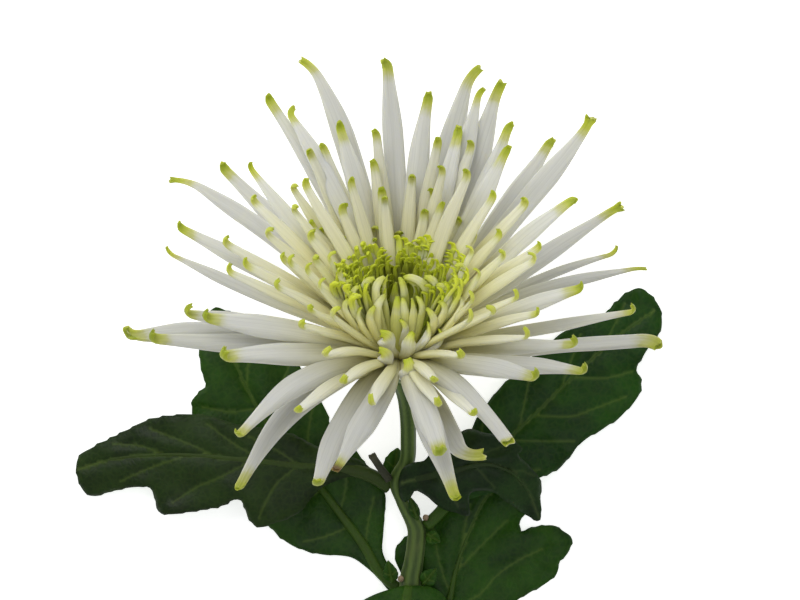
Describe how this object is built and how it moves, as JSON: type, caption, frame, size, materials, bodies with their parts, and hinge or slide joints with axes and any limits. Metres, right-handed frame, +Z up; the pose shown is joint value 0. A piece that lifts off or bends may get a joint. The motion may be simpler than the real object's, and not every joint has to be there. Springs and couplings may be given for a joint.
{
  "type": "spider chrysanthemum",
  "caption": "Cut spider chrysanthemum laid down: a bloom of long hooked tubular florets facing up on a ribbed leafy stem.",
  "frame": {"origin": "middle of the flower's footprint, on the surface it lies on", "axes": "+Z up from the surface, +Y from the cut end of the stem towards the bloom, +X to the right seen from above with the bloom at the top"},
  "size_m": [0.1548, 0.2426, 0.104],
  "materials": {
    "ray_floret": "white petal tissue with a soft satin sheen, yellow-green at the tips",
    "inner_florets": "white to green petal tissue, satin",
    "bracts": "green bracts with pale dry edges, matt",
    "stem": "ribbed green stalk with fine hairs, satin",
    "leaf": "dark green leaf, satin cuticle with sunken veins",
    "bud": "pinkish brown bud scales, matt",
    "cut_shoot": "dried cut shoot, brown and fibrous"
  },
  "bodies": {
    "root": {"ray_floret_01": "ray_floret", "ray_floret_02": "ray_floret", "ray_floret_03": "ray_floret", "ray_floret_04": "ray_floret", "ray_floret_05": "ray_floret", "ray_floret_06": "ray_floret", "ray_floret_07": "ray_floret", "ray_floret_08": "ray_floret", "ray_floret_09": "ray_floret", "ray_floret_10": "ray_floret", "ray_floret_11": "ray_floret", "ray_floret_12": "ray_floret", "ray_floret_13": "ray_floret", "ray_floret_14": "ray_floret", "ray_floret_15": "ray_floret", "ray_floret_16": "ray_floret", "ray_floret_17": "ray_floret", "ray_floret_18": "ray_floret", "ray_floret_19": "ray_floret", "ray_floret_20": "ray_floret", "ray_floret_21": "ray_floret", "ray_floret_22": "ray_floret", "ray_floret_23": "ray_floret", "ray_floret_24": "ray_floret", "ray_floret_25": "ray_floret", "ray_floret_26": "ray_floret", "ray_floret_27": "ray_floret", "ray_floret_28": "ray_floret", "ray_floret_29": "ray_floret", "ray_floret_30": "ray_floret", "ray_floret_31": "ray_floret", "ray_floret_32": "ray_floret", "ray_floret_33": "ray_floret", "ray_floret_34": "ray_floret", "ray_floret_35": "ray_floret", "ray_floret_36": "ray_floret", "ray_floret_37": "ray_floret", "ray_floret_38": "ray_floret", "ray_floret_39": "ray_floret", "ray_floret_40": "ray_floret", "ray_floret_41": "ray_floret", "ray_floret_42": "ray_floret", "receptacle_with_inner_florets": "inner_florets", "involucre": "bracts", "stem": "stem", "leaf_left_front": "leaf", "leaf_left_back": "leaf", "leaf_right": "leaf", "leaf_right_front": "leaf", "leaf_right_lower": "leaf", "leaf_bottom_front": "leaf", "leaflet_upper": "leaf", "leaflet_middle_upright": "leaf", "leaflet_middle_round": "leaf", "leaflet_lower_left": "leaf", "leaflet_lower_right": "leaf", "bud_middle": "bud", "bud_lower": "bud", "cut_side_shoot": "cut_shoot"}
  },
  "joints": []
}
